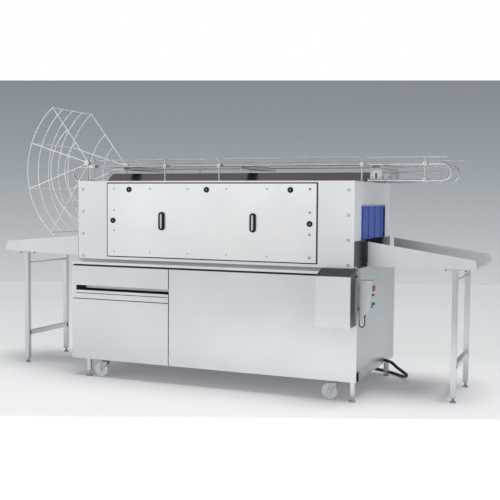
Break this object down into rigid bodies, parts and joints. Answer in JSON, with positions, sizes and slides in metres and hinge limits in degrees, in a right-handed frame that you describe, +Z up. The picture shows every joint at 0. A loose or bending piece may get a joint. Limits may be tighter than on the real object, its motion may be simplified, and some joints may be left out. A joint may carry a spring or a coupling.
{
  "type": "crate washing machine",
  "caption": "Tunnel washing machine for stacking crates: steel housing with wash door, strip curtains, feed tables, a return track on the roof and a wire turning cage.",
  "frame": {"origin": "middle of the machine's footprint at floor level, measured without the hose and the console cable", "axes": "+X runs along the machine from the inlet table to the outlet table, +Y from the wash door to the back, +Z up"},
  "size_m": [4.2376, 1.4494, 2.3168],
  "materials": {
    "brushed_steel": "brushed along the sheet, light grey",
    "shaded_steel": "brushed, mid grey",
    "dark_steel": "polished, mirrors dark surroundings",
    "polished_steel": "polished",
    "galvanised_steel": "zinc plated",
    "wheel_white": "moulded, satin",
    "black_plastic": "moulded, satin",
    "black_rubber": "smooth",
    "curtain_blue": "translucent strips, satin",
    "button_red": "gloss",
    "button_blue": "gloss",
    "motor_paint": "paint, satin"
  },
  "bodies": {
    "machine": {"cabinet_deck": "brushed_steel", "rear_panel": "brushed_steel", "front_panel_right": "brushed_steel", "front_panel_left": "brushed_steel", "hood_front": "brushed_steel", "hood_shell": "brushed_steel", "outlet_table": "brushed_steel", "inlet_table": "brushed_steel", "base_frame": "shaded_steel", "end_panel_inlet": "shaded_steel", "end_panel_outlet": "shaded_steel", "hood_end_inlet": "shaded_steel", "hood_end_outlet": "shaded_steel", "control_box": "shaded_steel", "operator_console": "shaded_steel", "outlet_table_legs": "shaded_steel", "inlet_table_legs": "shaded_steel", "track_posts_front": "shaded_steel", "track_posts_rear": "shaded_steel", "wash_tank": "shaded_steel", "apron_inlet": "dark_steel", "apron_outlet": "dark_steel", "roof_cover": "dark_steel", "conveyor": "dark_steel", "track_rails": "polished_steel", "spray_pipes": "polished_steel", "hose_union": "polished_steel", "door_gasket": "black_rubber", "water_hose": "black_rubber", "hose_coil": "black_rubber", "console_cable": "black_rubber", "gearmotor": "motor_paint", "wash_pump": "motor_paint"},
    "service_door": {"service_door": "brushed_steel"},
    "sieve_drawer": {"sieve_drawer": "brushed_steel"},
    "wash_door": {"wash_door": "brushed_steel", "handle_left": "black_plastic", "handle_right": "black_plastic"},
    "inlet_curtain": {"inlet_curtain": "curtain_blue"},
    "outlet_curtain": {"outlet_curtain": "curtain_blue"},
    "turning_cage": {"turning_cage": "polished_steel"},
    "drive_shaft": {"drive_shaft": "polished_steel"},
    "idler_shaft": {"idler_shaft": "polished_steel"},
    "control_box_door": {"control_box_door": "brushed_steel"},
    "emergency_stop": {"emergency_stop": "button_red"},
    "start_button": {"start_button": "button_blue"},
    "mode_knob": {"mode_knob": "black_plastic"},
    "castor_fork_front_left": {"castor_fork_front_left": "galvanised_steel"},
    "castor_wheel_front_left": {"castor_wheel_front_left": "wheel_white"},
    "castor_fork_front_right": {"castor_fork_front_right": "galvanised_steel"},
    "castor_wheel_front_right": {"castor_wheel_front_right": "wheel_white"},
    "castor_fork_rear_left": {"castor_fork_rear_left": "galvanised_steel"},
    "castor_wheel_rear_left": {"castor_wheel_rear_left": "wheel_white"},
    "castor_fork_rear_right": {"castor_fork_rear_right": "galvanised_steel"},
    "castor_wheel_rear_right": {"castor_wheel_rear_right": "wheel_white"},
    "lock_top_left": {"lock_top_left": "black_plastic"},
    "lock_top_middle": {"lock_top_middle": "black_plastic"},
    "lock_top_right": {"lock_top_right": "black_plastic"},
    "lock_side_left": {"lock_side_left": "black_plastic"},
    "lock_side_right": {"lock_side_right": "black_plastic"}
  },
  "joints": [
    {"name": "service_door_hinge", "type": "hinge", "parent": "machine", "child": "service_door", "pos_m": [-1.1885, -0.5275, 0.4], "axis": [0, 0, -1], "range_deg": [0, 120]},
    {"name": "sieve_drawer_slide", "type": "slide", "parent": "machine", "child": "sieve_drawer", "axis": [0, -1, 0], "range_m": [0, 0.6]},
    {"name": "castor_swivel_front_left", "type": "hinge", "parent": "machine", "child": "castor_fork_front_left", "pos_m": [-0.8845, -0.4975, 0.148], "axis": [0, 0, 1], "continuous": true},
    {"name": "castor_spin_front_left", "type": "hinge", "parent": "castor_fork_front_left", "child": "castor_wheel_front_left", "pos_m": [-0.9225, -0.4975, 0.067], "axis": [0, 1, 0], "continuous": true},
    {"name": "castor_swivel_front_right", "type": "hinge", "parent": "machine", "child": "castor_fork_front_right", "pos_m": [1.1295, -0.4975, 0.148], "axis": [0, 0, 1], "continuous": true},
    {"name": "castor_spin_front_right", "type": "hinge", "parent": "castor_fork_front_right", "child": "castor_wheel_front_right", "pos_m": [1.0915, -0.4975, 0.067], "axis": [0, 1, 0], "continuous": true},
    {"name": "castor_swivel_rear_left", "type": "hinge", "parent": "machine", "child": "castor_fork_rear_left", "pos_m": [-0.7845, 0.5705, 0.148], "axis": [0, 0, 1], "continuous": true},
    {"name": "castor_spin_rear_left", "type": "hinge", "parent": "castor_fork_rear_left", "child": "castor_wheel_rear_left", "pos_m": [-0.8225, 0.5705, 0.067], "axis": [0, 1, 0], "continuous": true},
    {"name": "castor_swivel_rear_right", "type": "hinge", "parent": "machine", "child": "castor_fork_rear_right", "pos_m": [1.0295, 0.5705, 0.148], "axis": [0, 0, 1], "continuous": true},
    {"name": "castor_spin_rear_right", "type": "hinge", "parent": "castor_fork_rear_right", "child": "castor_wheel_rear_right", "pos_m": [0.9915, 0.5705, 0.067], "axis": [0, 1, 0], "continuous": true},
    {"name": "wash_door_tilt", "type": "hinge", "parent": "machine", "child": "wash_door", "pos_m": [0.0505, -0.4955, 1.0316], "axis": [1, 0, 0], "range_deg": [0, 30]},
    {"name": "lock_top_left_turn", "type": "hinge", "parent": "wash_door", "child": "lock_top_left", "pos_m": [-0.65944, -0.4955, 1.584], "axis": [0, -1, 0], "range_deg": [0, 90]},
    {"name": "lock_top_middle_turn", "type": "hinge", "parent": "wash_door", "child": "lock_top_middle", "pos_m": [0.04847, -0.4955, 1.584], "axis": [0, -1, 0], "range_deg": [0, 90]},
    {"name": "lock_top_right_turn", "type": "hinge", "parent": "wash_door", "child": "lock_top_right", "pos_m": [0.75749, -0.4955, 1.584], "axis": [0, -1, 0], "range_deg": [0, 90]},
    {"name": "lock_side_left_turn", "type": "hinge", "parent": "wash_door", "child": "lock_side_left", "pos_m": [-0.8135, -0.4955, 1.327], "axis": [0, -1, 0], "range_deg": [0, 90]},
    {"name": "lock_side_right_turn", "type": "hinge", "parent": "wash_door", "child": "lock_side_right", "pos_m": [0.9145, -0.4955, 1.327], "axis": [0, -1, 0], "range_deg": [0, 90]},
    {"name": "inlet_curtain_swing", "type": "hinge", "parent": "machine", "child": "inlet_curtain", "pos_m": [-1.1432, 0.081, 1.4717], "axis": [0, 1, 0], "range_deg": [-80, 80]},
    {"name": "outlet_curtain_swing", "type": "hinge", "parent": "machine", "child": "outlet_curtain", "pos_m": [1.2472, 0.081, 1.4717], "axis": [0, 1, 0], "range_deg": [-80, 80]},
    {"name": "turning_cage_lift", "type": "hinge", "parent": "machine", "child": "turning_cage", "pos_m": [-1.2155, 0.0705, 1.819], "axis": [0, 1, 0], "range_deg": [0, 30]},
    {"name": "drive_shaft_turn", "type": "hinge", "parent": "machine", "child": "drive_shaft", "pos_m": [1.1225, 0.0705, 0.949], "axis": [0, 1, 0], "continuous": true},
    {"name": "idler_shaft_turn", "type": "hinge", "parent": "machine", "child": "idler_shaft", "pos_m": [-1.0185, 0.0705, 0.949], "axis": [0, 1, 0], "continuous": true},
    {"name": "control_box_door_hinge", "type": "hinge", "parent": "machine", "child": "control_box_door", "pos_m": [1.0255, -0.6695, 0.76], "axis": [0, 0, -1], "range_deg": [0, 110]},
    {"name": "emergency_stop_press", "type": "slide", "parent": "machine", "child": "emergency_stop", "axis": [-0.9959, 0, 0.0905], "range_m": [0, 0.006]},
    {"name": "start_button_press", "type": "slide", "parent": "machine", "child": "start_button", "axis": [-0.9959, 0, 0.0905], "range_m": [0, 0.004], "stiffness_N_per_m": 500},
    {"name": "mode_knob_turn", "type": "hinge", "parent": "machine", "child": "mode_knob", "pos_m": [1.4045, -0.4635, 0.744], "axis": [0.9959, 0, -0.0905], "range_deg": [0, 90]}
  ],
  "couplings": [
    {"joint": "idler_shaft_turn", "follows": "drive_shaft_turn", "ratio": 1}
  ]
}
